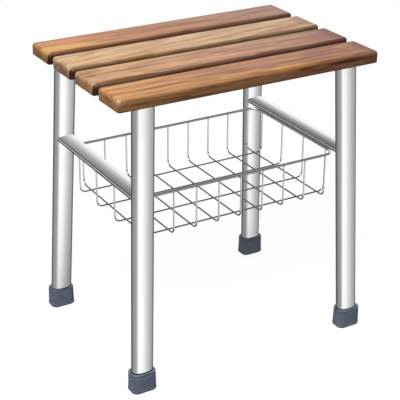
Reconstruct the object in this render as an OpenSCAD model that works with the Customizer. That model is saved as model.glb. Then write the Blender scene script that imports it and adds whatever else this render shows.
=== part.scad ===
/* [Seat] */
// Height of the seat's top above the floor
seat_h = 448.5; // [400:0.5:480]
// Length of each slat, left to right
slat_l = 422; // [400:2:480]
// Width of each slat, front to back
slat_w = 60; // [56:0.5:68]
// Thickness of each slat
slat_t = 18; // [15:0.5:24]
// Drainage gap between neighbouring slats
slat_gap = 13.5; // [6:0.5:16]
// Radius rounded over each slat's upper edges
slat_round = 5; // [2:0.5:7]
// Radius rounded over each slat's lower edges
slat_under_round = 2; // [1:0.5:4]
// Radius of every slat's own corners, seen from above
slat_corner_r = 5; // [2:0.5:7]

/* [Legs] */
// Width of the flat-oval leg tube, left to right
leg_w = 33.5; // [30:0.5:38]
// Depth of the leg tube, front to back
leg_d = 21; // [20:0.5:24]
// Radius of the leg tube's two narrow ends
leg_end_r = 9.3; // [8:0.1:9.7]
// Wall thickness of the leg tube
leg_wall = 1.5; // [1:0.1:2.5]
// Leg axis to the stool's middle at the slats' underside, left to right
leg_top_x = 165.5; // [150:0.5:170]
// Leg axis to the stool's middle at the slats' underside, front to back
leg_top_y = 122.5; // [110:0.5:126]
// How far a leg leans outwards to the side, from slat to floor
lean_x = 18; // [0:1:30]
// How far a leg leans outwards to the front or back, from slat to floor
lean_y = 19.3; // [0:0.1:30]

/* [Rails and crossbars] */
// Width of the flat-oval rail tube, left to right
rail_w = 28; // [24:1:29]
// Height of the rail tube
rail_h = 11; // [10:0.5:14]
// Radius of the rail tube's two narrow ends
rail_end_r = 4; // [3.5:0.1:4.7]
// Wall thickness of the rail tube
rail_wall = 1.5; // [1:0.1:2.5]
// Height of the crossbars' middle above the floor
crossbar_z = 296; // [270:0.5:340]

/* [Feet] */
// Height of a rubber foot
foot_h = 31.5; // [26:0.5:45]
// Rubber thickness round the tube at the foot's mouth
foot_wall = 2.2; // [1.8:0.1:4]
// Radius of the foot's upright corners at its mouth
foot_corner_r = 8.5; // [5:0.5:12]
// How much wider the sole is than the mouth, on each side
foot_flare = 1; // [0:0.5:3]
// Rubber thickness under the tube
foot_floor = 6; // [4:0.5:10]

/* [Basket] */
// Length of the basket, between the rim wire's centre lines
basket_l = 330; // [300:2:332]
// Width of the basket, between the rim wire's centre lines
basket_w = 218; // [190:2:220]
// Depth of the basket, from the rim to where the floor wires cross
basket_depth = 68.7; // [50:0.1:90]
// Diameter of the rim wire
rim_d = 4; // [3.5:0.5:5]
// Diameter of the grid wires
grid_d = 2.4; // [2:0.1:3]
// Radius of the rim's corners
rim_corner_r = 16; // [10:1:18]
// Bend radius of the grid wires
bend_r = 9; // [6:0.5:12]
// Distance from the front or back rim to the first lengthwise wire
long_inset = 21.5; // [18:0.5:25]
// Distance from the left or right rim to the first crosswise wire
cross_inset = 16; // [14:0.5:20]

/* [Fasteners] */
// Thread diameter of the seat screws
seat_screw_d = 4; // [3.5:0.5:5]
// How far a seat screw bites into its slat
seat_screw_bite = 12; // [10:1:13]
// Thread diameter of the basket screws
basket_screw_d = 4; // [3.5:0.5:5]
// Thickness of the basket's fixing tabs
tab_t = 1.8; // [1.5:0.1:2.5]
// Distance from the stool's middle to each fixing tab, front to back
tab_y = 58; // [45:1:65]

/* [Hidden] */
$fn = 64;

LEFT = -1;
RIGHT = 1;
FRONT = -1;
BACK = 1;
SIDES = [-1, 1];

// Seat
seat_under = seat_h - slat_t;
slat_pitch = slat_w + slat_gap;
seat_w = 4 * slat_pitch - slat_gap;
slat_centres = [for (i = [0:3]) (1.5 - i) * slat_pitch];

// Legs: each axis runs from its floor point up to the slats' underside
leg_foot_x = leg_top_x + lean_x;
leg_foot_y = leg_top_y + lean_y;
leg_axis = norm([lean_x, lean_y, seat_under]);
trim = 20;

// Height shares turn a height into a leg's place
function leg_x(z) = leg_foot_x - lean_x * z / seat_under;
function leg_y(z) = leg_foot_y - lean_y * z / seat_under;

// Rails
top_rail_z = seat_under - rail_h / 2;
crossbar_under = crossbar_z - rail_h / 2;

// Feet
foot_mid = foot_h / 2;
sole_round = 3;
mouth_round = 1.2;

// Plugs in the legs' tops
plug_h = 12;

// Basket
rim_z = crossbar_under - tab_t - rim_d / 2;
floor_z = rim_z - basket_depth;
long_wire_z = floor_z - grid_d / 2;
cross_wire_z = floor_z + grid_d / 2;
long_count = 4;
cross_count = 9;
long_pitch = (basket_w - 2 * long_inset) / (long_count - 1);
cross_pitch = (basket_l - 2 * cross_inset) / (cross_count - 1);

// Fixing tabs reach from over the rim wire to beyond the screw
tab_x0 = basket_l / 2 - rim_d / 2;
tab_reach = 17;
tab_width = 16;
basket_screw_x = tab_x0 + 10.5;
basket_screw_grip = 6;
basket_head_d = 8;
basket_head_h = 2.4;

// Seat screws, one through each rail under each slat
seat_screw_ys = [for (i = [0:3]) slat_centres[i] - (i == 0 ? 14 : i == 3 ? -14 : 0)];
seat_screw_x = leg_x(top_rail_z);
seat_head_d = 8;
seat_head_h = 2.6;
clearance = 0.2;

// Flat-oval outline of four arcs: small ends of radius end_r, and long sides
// crowned just enough to run into them smoothly
module flat_oval(w, d, end_r) {
    end_x = w / 2 - end_r;
    side_r = (end_x * end_x + d * d / 4 - end_r * end_r) / (d - 2 * end_r);
    meet_x = end_x * side_r / (side_r - end_r);
    intersection() {
        square([2 * meet_x, d], center = true);
        for_both_sides(side_r - d / 2)
            circle(r = side_r, $fn = 180);
    }
    for (s = SIDES)
        translate([s * end_x, 0])
            circle(r = end_r);
}

// The space shared by a shape moved to y and the same shape moved to -y
module for_both_sides(y) {
    intersection() {
        translate([0, y])
            children();
        translate([0, -y])
            children();
    }
}

module flat_oval_tube(w, d, end_r, wall) {
    difference() {
        flat_oval(w, d, end_r);
        flat_oval(w - 2 * wall, d - 2 * wall, end_r - wall);
    }
}

// Rectangle with its corners rounded: r_top on the upper two, r_low on the lower two
module soft_rectangle(w, h, r_top, r_low) {
    difference() {
        translate([-w / 2, 0])
            square([w, h]);
        for (s = SIDES) {
            translate([s * w / 2, h])
                corner_waste(r_top, s, 1);
            translate([s * w / 2, 0])
                corner_waste(r_low, s, -1);
        }
    }
}

// What a rounding takes off a square corner that points towards (sx, sy)
module corner_waste(r, sx, sy) {
    difference() {
        translate([sx > 0 ? -r : -1, sy > 0 ? -r : -1])
            square(r + 1);
        translate([-sx * r, -sy * r])
            circle(r = r);
    }
}

// Seat -------------------------------------------------------------------------------

module seat_screw_spot(i, side) {
    translate([side * seat_screw_x, seat_screw_ys[i], seat_under])
        children();
}

// One slat; i counts from the back
module slat(i) {
    difference() {
        intersection() {
            translate([-slat_l / 2, slat_centres[i], seat_under])
                rotate([90, 0, 90])
                    linear_extrude(height = slat_l)
                        soft_rectangle(slat_w, slat_t, slat_round, slat_under_round);
            translate([0, seat_w, seat_under])
                rotate([90, 0, 0])
                    linear_extrude(height = 2 * seat_w)
                        soft_rectangle(slat_l, slat_t, slat_round, slat_under_round);
            translate([0, slat_centres[i] - slat_w / 2, seat_under - 1])
                linear_extrude(height = slat_t + 2)
                    soft_rectangle(slat_l, slat_w, slat_corner_r, slat_corner_r);
        }
        for (side = SIDES)
            seat_screw_spot(i, side)
                translate([0, 0, -1])
                    cylinder(h = seat_screw_bite + 1, d = seat_screw_d);
    }
}

module slat_back() {
    color([0.70, 0.46, 0.30]) slat(0);
}

module slat_mid_back() {
    color([0.82, 0.62, 0.42]) slat(1);
}

module slat_mid_front() {
    color([0.76, 0.54, 0.38]) slat(2);
}

module slat_front() {
    color([0.74, 0.47, 0.26]) slat(3);
}

// Legs -------------------------------------------------------------------------------

// Puts its children on a leg's axis, with z running up the leg from the floor
module along_leg(side, end) {
    translate([side * leg_foot_x, end * leg_foot_y, 0])
        rotate([end * asin(lean_y / leg_axis), -side * atan(lean_x / seat_under), 0])
            children();
}

// The whole space that a leg's tube fills, past both its ends
module leg_envelope(side, end) {
    along_leg(side, end)
        translate([0, 0, -trim])
            linear_extrude(height = leg_axis + 2 * trim)
                flat_oval(leg_w, leg_d, leg_end_r);
}

// Everything between two heights
module level(z0, z1) {
    translate([-slat_l, -slat_l, z0])
        cube([2 * slat_l, 2 * slat_l, z1 - z0]);
}

module leg(side, end) {
    color([0.80, 0.81, 0.82])
        intersection() {
            along_leg(side, end)
                translate([0, 0, -trim])
                    linear_extrude(height = leg_axis + 2 * trim)
                        flat_oval_tube(leg_w, leg_d, leg_end_r, leg_wall);
            level(foot_floor, seat_under);
        }
}

module leg_top_plugs() {
    color([0.20, 0.20, 0.21])
        for (side = SIDES, end = SIDES)
            intersection() {
                along_leg(side, end)
                    linear_extrude(height = leg_axis + trim)
                        flat_oval(leg_w - 2 * leg_wall, leg_d - 2 * leg_wall, leg_end_r - leg_wall);
                level(seat_under - plug_h, seat_under);
            }
}

// Rails ------------------------------------------------------------------------------

// A rail between a side's two legs, its ends cut to fit round them
module rail(side, z) {
    difference() {
        translate([side * leg_x(z), leg_y(z), z])
            rotate([90, 0, 0])
                linear_extrude(height = 2 * leg_y(z))
                    flat_oval_tube(rail_w, rail_h, rail_end_r, rail_wall);
        for (end = SIDES)
            leg_envelope(side, end);
    }
}

module top_rail(side) {
    color([0.78, 0.79, 0.80])
        difference() {
            rail(side, top_rail_z);
            for (i = [0:3])
                seat_screw_spot(i, side)
                    translate([0, 0, -rail_h - 1])
                        cylinder(h = rail_h + 2, d = seat_screw_d + 2 * clearance);
        }
}

module basket_screw_spot(side, end) {
    translate([side * basket_screw_x, end * tab_y, crossbar_under])
        children();
}

module crossbar(side) {
    color([0.80, 0.81, 0.82])
        difference() {
            rail(side, crossbar_z);
            for (end = SIDES)
                basket_screw_spot(side, end)
                    translate([0, 0, -1])
                        cylinder(h = rail_wall + 2, d = basket_screw_d);
        }
}

// Feet -------------------------------------------------------------------------------

// Section through a foot's rounded corner: x from the corner's axis, y up from the floor
function foot_outline() =
    let (
        mouth = foot_corner_r,
        sole = mouth + foot_flare
    )
    concat(
        [[0, 0]],
        [for (a = [0:15:90])
            [sole - sole_round * (1 - sin(a)), sole_round * (1 - cos(a))]],
        [for (a = [0:30:90])
            [mouth - mouth_round * (1 - cos(a)), foot_h - mouth_round * (1 - sin(a))]],
        [[0, foot_h]]
    );

// Straight length of a foot's side, its upright corners left out; m = 1 turns it round
module foot_side(l, m) {
    rotate([90, 0, 90])
        linear_extrude(height = l)
            mirror([m, 0])
                polygon(foot_outline());
}

// A solid foot: a block, its four sides and its four corners
module foot_body() {
    cx = leg_w / 2 + foot_wall - foot_corner_r;
    cy = leg_d / 2 + foot_wall - foot_corner_r;
    translate([-cx, -cy, 0])
        cube([2 * cx, 2 * cy, foot_h]);
    for (m = [0, 1]) {
        translate([-cx, (1 - 2 * m) * cy, 0])
            foot_side(2 * cx, m);
        translate([(1 - 2 * m) * cx, cy, 0])
            rotate([0, 0, -90])
                foot_side(2 * cy, m);
    }
    for (q = [0:3])
        translate([(q == 0 || q == 3 ? 1 : -1) * cx, (q < 2 ? 1 : -1) * cy, 0])
            rotate([0, 0, 90 * q])
                rotate_extrude(angle = 90)
                    polygon(foot_outline());
}

module foot(side, end) {
    color([0.38, 0.40, 0.47])
        difference() {
            translate([side * leg_x(foot_mid), end * leg_y(foot_mid), 0])
                foot_body();
            intersection() {
                leg_envelope(side, end);
                level(foot_floor, foot_h + trim);
            }
        }
}

// Fasteners --------------------------------------------------------------------------

// Pan-head screw pointing up, its head's upper face at z = 0
module pan_screw(shank_d, shank_l, head_d, head_h) {
    point_l = shank_d * 0.75;
    difference() {
        union() {
            translate([0, 0, -head_h])
                cylinder(h = head_h, d1 = head_d * 0.8, d2 = head_d);
            cylinder(h = shank_l - point_l, d = shank_d);
            translate([0, 0, shank_l - point_l])
                cylinder(h = point_l, d1 = shank_d, d2 = shank_d * 0.2);
        }
        // Cross recess for the driver
        for (a = [0, 90])
            rotate([0, 0, a])
                translate([-head_d * 0.28, -0.45, -head_h - 1])
                    cube([head_d * 0.56, 0.9, 1 + head_h * 0.6]);
    }
}

module seat_screws() {
    color([0.62, 0.63, 0.64])
        for (i = [0:3], side = SIDES)
            seat_screw_spot(i, side)
                translate([0, 0, -rail_h])
                    pan_screw(seat_screw_d, rail_h + seat_screw_bite, seat_head_d, seat_head_h);
}

module basket_screws() {
    color([0.62, 0.63, 0.64])
        for (side = SIDES, end = SIDES)
            basket_screw_spot(side, end)
                translate([0, 0, -tab_t])
                    pan_screw(basket_screw_d, tab_t + basket_screw_grip,
                        basket_head_d, basket_head_h);
}

// Basket -----------------------------------------------------------------------------

// Quarter turn of wire in the X-Y plane, from angle a on
module wire_bend(a, r, d) {
    rotate([0, 0, a])
        rotate_extrude(angle = 90)
            translate([r, 0])
                circle(d = d);
}

// Straight wire along X, its middle at the origin
module straight_wire(l, d) {
    rotate([0, 90, 0])
        cylinder(h = l, d = d, center = true);
}

module basket_rim() {
    run_l = basket_l - 2 * rim_corner_r;
    run_w = basket_w - 2 * rim_corner_r;
    color([0.70, 0.71, 0.73])
        translate([0, 0, rim_z]) {
            for (s = SIDES) {
                translate([0, s * basket_w / 2, 0])
                    straight_wire(run_l, rim_d);
                translate([s * basket_l / 2, 0, 0])
                    rotate([0, 0, 90])
                        straight_wire(run_w, rim_d);
            }
            for (q = [0:3])
                translate([(q == 0 || q == 3 ? 1 : -1) * run_l / 2, (q < 2 ? 1 : -1) * run_w / 2, 0])
                    wire_bend(90 * q, rim_corner_r, rim_d);
        }
}

// U-shaped wire in the X-Z plane: two uprights under the rim and a floor run at z.
// Each upright's end is cut to sit against the rim wire.
module u_wire(span, z) {
    upright = rim_z - z - bend_r;
    difference() {
        union() {
            translate([0, 0, z])
                straight_wire(span - 2 * bend_r, grid_d);
            for (s = SIDES)
                translate([s * span / 2, 0, z + bend_r])
                    cylinder(h = upright, d = grid_d);
            translate([0, 0, z + bend_r])
                rotate([90, 0, 0]) {
                    translate([span / 2 - bend_r, 0, 0])
                        wire_bend(270, bend_r, grid_d);
                    translate([bend_r - span / 2, 0, 0])
                        wire_bend(180, bend_r, grid_d);
                }
        }
        for (s = SIDES)
            translate([s * span / 2, 0, rim_z])
                rotate([90, 0, 0])
                    cylinder(h = 4 * grid_d, d = rim_d, center = true);
    }
}

module basket_long_wires() {
    color([0.72, 0.73, 0.75])
        for (i = [0:long_count - 1])
            translate([0, basket_w / 2 - long_inset - i * long_pitch, 0])
                u_wire(basket_l, long_wire_z);
}

module basket_cross_wires() {
    color([0.74, 0.75, 0.77])
        for (i = [0:cross_count - 1])
            translate([cross_inset - basket_l / 2 + i * cross_pitch, 0, 0])
                rotate([0, 0, 90])
                    u_wire(basket_w, cross_wire_z);
}

module basket_tabs() {
    color([0.70, 0.71, 0.73])
        for (side = SIDES, end = SIDES)
            difference() {
                translate([side * (tab_x0 + tab_reach / 2), end * tab_y, crossbar_under - tab_t / 2])
                    cube([tab_reach, tab_width, tab_t], center = true);
                basket_screw_spot(side, end)
                    translate([0, 0, -tab_t - 1])
                        cylinder(h = tab_t + 2, d = basket_screw_d + 2 * clearance);
            }
}

slat_back();
slat_mid_back();
slat_mid_front();
slat_front();
leg(LEFT, BACK);  // leg_back_left
leg(RIGHT, BACK);  // leg_back_right
leg(LEFT, FRONT);  // leg_front_left
leg(RIGHT, FRONT);  // leg_front_right
top_rail(LEFT);  // top_rail_left
top_rail(RIGHT);  // top_rail_right
crossbar(LEFT);  // crossbar_left
crossbar(RIGHT);  // crossbar_right
foot(LEFT, BACK);  // foot_back_left
foot(RIGHT, BACK);  // foot_back_right
foot(LEFT, FRONT);  // foot_front_left
foot(RIGHT, FRONT);  // foot_front_right
leg_top_plugs();
seat_screws();
basket_rim();
basket_long_wires();
basket_cross_wires();
basket_tabs();
basket_screws();
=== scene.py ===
"""A shower stool: four teak slats on splayed aluminium legs, with a wire basket under them."""

import logging
import math
from dataclasses import dataclass, field
from enum import Enum
from typing import Iterable, Sequence, Union

import bmesh
import bpy
from bpy.types import Material, Node, NodeSocket, NodeTree, Object
from mathutils import Euler, Matrix, Vector


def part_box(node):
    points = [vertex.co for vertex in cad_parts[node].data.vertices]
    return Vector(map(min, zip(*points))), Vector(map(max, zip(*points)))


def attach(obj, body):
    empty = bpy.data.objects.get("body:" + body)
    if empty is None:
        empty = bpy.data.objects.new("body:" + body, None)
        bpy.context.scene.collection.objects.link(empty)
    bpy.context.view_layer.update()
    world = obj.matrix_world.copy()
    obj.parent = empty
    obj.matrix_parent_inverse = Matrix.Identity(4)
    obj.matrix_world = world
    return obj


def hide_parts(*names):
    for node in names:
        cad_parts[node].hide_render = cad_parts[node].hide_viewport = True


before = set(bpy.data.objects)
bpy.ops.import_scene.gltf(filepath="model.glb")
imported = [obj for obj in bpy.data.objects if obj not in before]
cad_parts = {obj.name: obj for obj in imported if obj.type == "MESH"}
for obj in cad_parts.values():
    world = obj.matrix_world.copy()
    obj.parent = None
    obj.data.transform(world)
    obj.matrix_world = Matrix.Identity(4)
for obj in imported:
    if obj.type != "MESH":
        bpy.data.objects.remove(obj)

log = logging.getLogger("shower_stool")

Colour = tuple[float, float, float]
Stop = tuple[float, Colour]
Plug = Union[NodeSocket, float, Sequence[float]]

MM = 0.001
BODY = "root"


class Side(Enum):
    """The stool's left or right, as a sign along X."""

    LEFT = -1
    RIGHT = 1


class End(Enum):
    """The stool's front or back, as a sign along Y."""

    FRONT = -1
    BACK = 1


class Slot(Enum):
    """The record's material slots."""

    TEAK_BACK = "teak_back"
    TEAK_MID_BACK = "teak_mid_back"
    TEAK_MID_FRONT = "teak_mid_front"
    TEAK_FRONT = "teak_front"
    RUBBER = "foot_rubber"
    WIRE = "basket_wire"
    LEG = "leg_tube"


def srgb(red: int, green: int, blue: int) -> Colour:
    """A display colour of 0 to 255 a channel as linear light.

    Args:
        red: The red channel.
        green: The green channel.
        blue: The blue channel.

    Returns:
        The linear red, green and blue.
    """
    def linear(channel: int) -> float:
        """One channel as linear light."""
        c = channel / 255
        return c / 12.92 if c <= 0.04045 else ((c + 0.055) / 1.055) ** 2.4

    return linear(red), linear(green), linear(blue)


# Shader wiring ----------------------------------------------------------------------------


class Wiring:
    """Adds nodes to one node tree and joins them up."""

    def __init__(self, tree: NodeTree) -> None:
        """Starts on a tree.

        Args:
            tree: The tree that the nodes go into.
        """
        self.tree = tree

    def node(self, kind: str, **settings: object) -> Node:
        """Adds a node.

        Args:
            kind: The node's type, without its ShaderNode prefix.
            **settings: The node's own properties.

        Returns:
            The new node.
        """
        made = self.tree.nodes.new("ShaderNode" + kind)
        for name, value in settings.items():
            setattr(made, name, value)
        return made

    def feed(self, socket: NodeSocket, value: Plug) -> None:
        """Gives a socket a link, or a fixed value.

        Args:
            socket: The socket that takes the value.
            value: Another node's output, or a number or colour.
        """
        if isinstance(value, NodeSocket):
            self.tree.links.new(value, socket)
        elif socket.type == "RGBA" and len(value) == 3:
            socket.default_value = (*value, 1.0)
        else:
            socket.default_value = value

    def maths(self, operation: str, *values: Plug, clamp: bool = False) -> NodeSocket:
        """A Math node.

        Args:
            operation: The node's operation.
            *values: Its inputs, in order.
            clamp: Whether the result stays between 0 and 1.

        Returns:
            The result.
        """
        made = self.node("Math", operation=operation, use_clamp=clamp)
        for socket, value in zip(made.inputs, values):
            self.feed(socket, value)
        return made.outputs[0]

    def stretch(self, vector: Plug, scale: Sequence[float],
                location: Plug = (0.0, 0.0, 0.0)) -> NodeSocket:
        """Scales and shifts coordinates.

        Args:
            vector: The coordinates.
            scale: The scale along X, Y and Z.
            location: The shift, after scaling.

        Returns:
            The new coordinates.
        """
        made = self.node("VectorMath", operation="MULTIPLY_ADD")
        self.feed(made.inputs[0], vector)
        self.feed(made.inputs[1], scale)
        self.feed(made.inputs[2], location)
        return made.outputs[0]

    def noise(self, vector: Plug, scale: float = 1.0, detail: float = 2.0,
              roughness: float = 0.5, distortion: float = 0.0) -> NodeSocket:
        """A noise texture.

        Args:
            vector: Its coordinates.
            scale: How many grains there are to a unit.
            detail: How many finer layers it has.
            roughness: How strong the finer layers are.
            distortion: How much it swirls.

        Returns:
            The noise, about 0 to 1.
        """
        made = self.node("TexNoise", noise_dimensions="3D")
        for name, value in (("Vector", vector), ("Scale", scale), ("Detail", detail),
                            ("Roughness", roughness), ("Distortion", distortion)):
            self.feed(made.inputs[name], value)
        return made.outputs["Fac"]

    def span(self, value: Plug, low: float, high: float, to_low: float = 0.0,
             to_high: float = 1.0, smooth: bool = True) -> NodeSocket:
        """Maps one range onto another, held at its ends.

        Args:
            value: The value to map.
            low: Where the range starts.
            high: Where the range ends.
            to_low: The result at low.
            to_high: The result at high.
            smooth: Whether it eases in and out.

        Returns:
            The mapped value.
        """
        made = self.node("MapRange", interpolation_type="SMOOTHSTEP" if smooth else "LINEAR")
        for socket, item in zip(made.inputs, (value, low, high, to_low, to_high)):
            self.feed(socket, item)
        return made.outputs[0]

    def ramp(self, factor: Plug, stops: Sequence[Stop]) -> NodeSocket:
        """A colour ramp.

        Args:
            factor: Where on the ramp to read, 0 to 1.
            stops: Each stop's place and colour.

        Returns:
            The colour.
        """
        made = self.node("ValToRGB")
        elements = made.color_ramp.elements
        while len(elements) < len(stops):
            elements.new(0.5)
        for element, (place, colour) in zip(elements, stops):
            element.position = place
            element.color = (*colour, 1.0)
        self.feed(made.inputs[0], factor)
        return made.outputs[0]

    def mix(self, factor: Plug, low: Plug, high: Plug, blend: str = "MIX") -> NodeSocket:
        """Mixes two colours.

        Args:
            factor: How much of the second colour there is.
            low: The first colour.
            high: The second colour.
            blend: The way they mix.

        Returns:
            The mixed colour.
        """
        made = self.node("Mix", data_type="RGBA", blend_type=blend)
        colours = [socket for socket in made.inputs if socket.type == "RGBA"]
        self.feed(made.inputs[0], factor)
        self.feed(colours[0], low)
        self.feed(colours[1], high)
        return next(socket for socket in made.outputs if socket.type == "RGBA")

    def axes(self, vector: Plug) -> tuple[NodeSocket, NodeSocket, NodeSocket]:
        """Splits coordinates.

        Args:
            vector: The coordinates.

        Returns:
            Their X, Y and Z.
        """
        made = self.node("SeparateXYZ")
        self.feed(made.inputs[0], vector)
        return made.outputs[0], made.outputs[1], made.outputs[2]


class EffectGroup:
    """A shader node group with named inputs and outputs, shared between materials."""

    title = "effect"
    inputs: tuple[tuple[str, str, object], ...] = ()
    outputs: tuple[tuple[str, str], ...] = ()

    def tree(self) -> NodeTree:
        """The group, made on first use.

        Returns:
            The group's node tree.
        """
        found = bpy.data.node_groups.get(self.title)
        if found:
            return found
        tree = bpy.data.node_groups.new(self.title, "ShaderNodeTree")
        for name, kind, value in self.inputs:
            socket = tree.interface.new_socket(name, in_out="INPUT", socket_type=kind)
            if value is not None:
                socket.default_value = value
        for name, kind in self.outputs:
            tree.interface.new_socket(name, in_out="OUTPUT", socket_type=kind)
        self.wire(Wiring(tree), tree.nodes.new("NodeGroupInput"),
                  tree.nodes.new("NodeGroupOutput"))
        return tree

    def wire(self, w: Wiring, given: Node, result: Node) -> None:
        """Builds the inside of the group.

        Args:
            w: The wiring of the group's tree.
            given: The group's input node.
            result: The group's output node.
        """
        raise NotImplementedError

    def place(self, w: Wiring, **values: Plug) -> Node:
        """Puts the group into a material.

        Args:
            w: The material's wiring.
            **values: Values or links for its inputs, with _ for a space in the name.

        Returns:
            The group's node.
        """
        made = w.node("Group", node_tree=self.tree())
        for name, value in values.items():
            w.feed(made.inputs[name.replace("_", " ")], value)
        return made


FLOAT, VECTOR, COLOR = "NodeSocketFloat", "NodeSocketVector", "NodeSocketColor"


class TeakFigure(EffectGroup):
    """Growth rings, streaks and pores that run along X through the solid wood."""

    title = "teak_figure"
    inputs = (
        ("Grain", VECTOR, None), ("Along", FLOAT, 0.0), ("Left Tint", COLOR, (1, 1, 1, 1)),
        ("Right Tint", COLOR, (1, 1, 1, 1)), ("Streak Tint", COLOR, (1, 1, 1, 1)),
        ("Pale Tint", COLOR, (1, 1, 1, 1)), ("Rings", FLOAT, 0.3), ("Streaks", FLOAT, 0.4),
    )
    outputs = (("Color", COLOR), ("Roughness", FLOAT), ("Height", FLOAT))

    def wire(self, w: Wiring, given: Node, result: Node) -> None:
        """Builds the figure from a warped ring distance and three widths of streak."""
        grain = given.outputs["Grain"]
        x, y, z = w.axes(grain)
        sway = w.noise(w.stretch(grain, (3.0, 8.0, 8.0)), detail=2.0)
        swell = w.noise(w.stretch(grain, (5.0, 16.0, 16.0), (7.0, 3.0, 1.0)), detail=3.0)
        radius = w.maths("SQRT", w.maths("ADD", w.maths("MULTIPLY", y, y),
                                         w.maths("MULTIPLY", z, z)))
        reach = w.maths("MULTIPLY_ADD", sway, 0.055, radius)
        reach = w.maths("MULTIPLY_ADD", swell, 0.018, reach)
        ring = w.maths("FRACT", w.maths("MULTIPLY", reach, 105.0))
        late_wood = w.maths("MULTIPLY", w.span(ring, 0.15, 0.86),
                            w.span(ring, 0.9, 1.0, 1.0, 0.0))

        broad = w.noise(w.stretch(grain, (3.0, 22.0, 22.0), (2.0, 5.0, 9.0)), detail=3.0)
        streak = w.noise(w.stretch(grain, (6.5, 130.0, 130.0)), detail=5.0, roughness=0.68,
                         distortion=0.5)
        fibre = w.noise(w.stretch(grain, (26.0, 900.0, 900.0)), detail=3.0, roughness=0.65)
        pore = w.noise(w.stretch(grain, (95.0, 2600.0, 2600.0), (4.0, 8.0, 2.0)), detail=1.0)
        pores = w.maths("MULTIPLY", w.span(pore, 0.62, 0.7), w.span(broad, 0.35, 0.6))

        drift = w.maths("MULTIPLY_ADD", w.maths("SUBTRACT", broad, 0.5), 0.9,
                        given.outputs["Along"])
        tint = w.mix(w.span(drift, 0.0, 1.0), given.outputs["Left Tint"],
                     given.outputs["Right Tint"])
        pale = w.maths("MULTIPLY", w.span(streak, 0.5, 0.66), given.outputs["Streaks"])
        tint = w.mix(pale, tint, given.outputs["Pale Tint"])
        dark = w.maths("MULTIPLY", w.span(streak, 0.5, 0.34), given.outputs["Streaks"])
        rings = w.maths("MULTIPLY", late_wood, given.outputs["Rings"])
        dark = w.maths("ADD", dark, rings, clamp=True)
        tint = w.mix(dark, tint, given.outputs["Streak Tint"])
        fine = w.span(fibre, 0.3, 0.7, 0.80, 1.14, smooth=False)
        tone = w.node("VectorMath", operation="SCALE")
        w.feed(tone.inputs[0], tint)
        w.feed(tone.inputs["Scale"], fine)
        tint = w.mix(w.maths("MULTIPLY", pores, 0.4), tone.outputs[0],
                     given.outputs["Streak Tint"], "MULTIPLY")
        w.feed(result.inputs["Color"], tint)
        rough = w.span(streak, 0.3, 0.7, 0.36, 0.46)
        w.feed(result.inputs["Roughness"], w.maths("MULTIPLY_ADD", pores, 0.15, rough))
        height = w.maths("MULTIPLY_ADD", fibre, 0.35, w.maths("MULTIPLY", rings, -0.25))
        height = w.maths("MULTIPLY_ADD", pores, -0.6, height)
        w.feed(result.inputs["Height"], height)


class SoftPatch(EffectGroup):
    """A long patch with ragged ends, for a knot or a run of colour in the wood, and also for a
    painted highlight or painted shade.
    """

    title = "soft_patch"
    inputs = (("Vector", VECTOR, None), ("Centre", VECTOR, None), ("Reach", VECTOR, None),
              ("Turn", FLOAT, 0.0), ("Ragged", FLOAT, 0.5))
    outputs = (("Mask", FLOAT),)

    def wire(self, w: Wiring, given: Node, result: Node) -> None:
        """Builds the patch from its distance, broken up by a streaky noise."""
        turned = w.node("VectorRotate", rotation_type="Z_AXIS")
        w.feed(turned.inputs["Vector"], given.outputs["Vector"])
        w.feed(turned.inputs["Center"], given.outputs["Centre"])
        w.feed(turned.inputs["Angle"], given.outputs["Turn"])
        away = w.node("VectorMath", operation="SUBTRACT")
        w.feed(away.inputs[0], turned.outputs[0])
        w.feed(away.inputs[1], given.outputs["Centre"])
        shrunk = w.node("VectorMath", operation="DIVIDE")
        w.feed(shrunk.inputs[0], away.outputs[0])
        w.feed(shrunk.inputs[1], given.outputs["Reach"])
        length = w.node("VectorMath", operation="LENGTH")
        w.feed(length.inputs[0], shrunk.outputs[0])
        ragged = w.noise(w.stretch(given.outputs["Vector"], (14.0, 130.0, 130.0)),
                         detail=3.0, roughness=0.6)
        edge = w.maths("MULTIPLY_ADD", w.maths("SUBTRACT", ragged, 0.5),
                       given.outputs["Ragged"], length.outputs["Value"])
        w.feed(result.inputs["Mask"], w.span(edge, 1.0, 0.35))


class PaintedSideShade(EffectGroup):
    """Painted shade on a board's upright faces, deeper towards their lower edges."""

    title = "dark_sides"
    inputs = (("Normal", VECTOR, None), ("Depth", FLOAT, 0.0), ("Front", FLOAT, 0.0),
              ("Back", FLOAT, 0.0), ("Left", FLOAT, 0.0), ("Right", FLOAT, 0.0))
    outputs = (("Mask", FLOAT),)

    def wire(self, w: Wiring, given: Node, result: Node) -> None:
        """Builds the mask from how far each face turns outwards and how deep it lies."""
        x, y, _ = w.axes(given.outputs["Normal"])
        total: Plug = 0.0
        for axis, sign, name in ((y, -1.0, "Front"), (y, 1.0, "Back"), (x, -1.0, "Left"),
                                 (x, 1.0, "Right")):
            facing = w.span(w.maths("MULTIPLY", axis, sign), 0.05, 0.75)
            total = w.maths("MULTIPLY_ADD", facing, given.outputs[name], total)
        deeper = w.span(given.outputs["Depth"], 0.0, 0.5, 0.6, 1.0)
        w.feed(result.inputs["Mask"], w.maths("MULTIPLY", total, deeper, clamp=True))


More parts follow.
